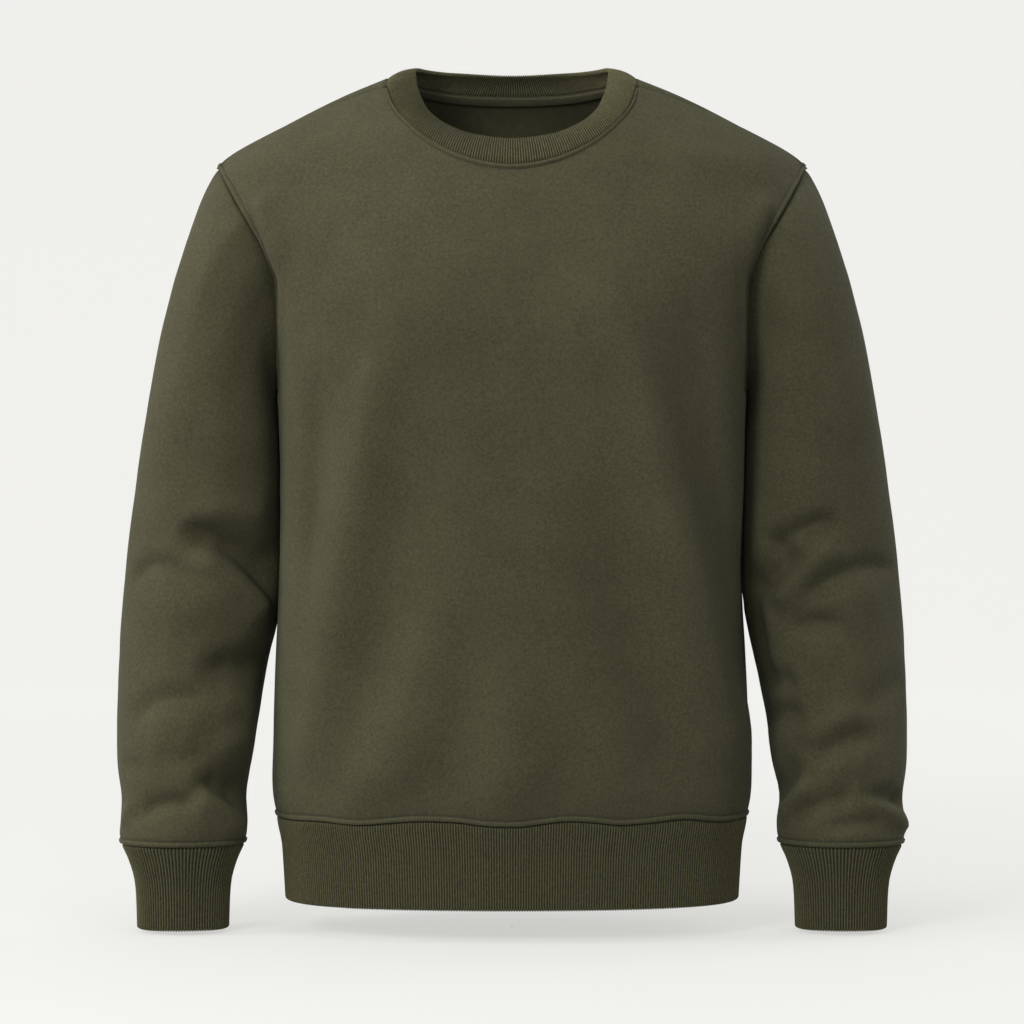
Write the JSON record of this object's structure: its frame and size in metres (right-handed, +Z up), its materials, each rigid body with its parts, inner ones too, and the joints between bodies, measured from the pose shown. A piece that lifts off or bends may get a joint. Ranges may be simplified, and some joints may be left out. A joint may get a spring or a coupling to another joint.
{
  "type": "crewneck sweatshirt",
  "caption": "Long-sleeved crewneck sweatshirt, filled out as if worn: set-in sleeves, ribbed neckband, cuffs and hem band, open neck, hem and cuffs, hollow inside",
  "frame": {"origin": "midway between the two points where the shoulders meet the neck seam, where the wearer's shoulders hold it up", "axes": "+Z up, the front faces -Y, +X is the wearer's left"},
  "size_m": [0.6629, 0.2351, 0.7212],
  "materials": {
    "fleece": "matte knitted face, dark olive",
    "rib": "matte one-by-one rib, dark olive",
    "tape": "matte self tape, dark olive"
  },
  "bodies": {
    "root": {"front": "fleece", "back": "fleece", "sleeve_left": "fleece", "sleeve_right": "fleece", "neckband": "rib", "cuff_left": "rib", "cuff_right": "rib", "hem_band": "rib", "neck_tape": "tape"}
  },
  "joints": []
}
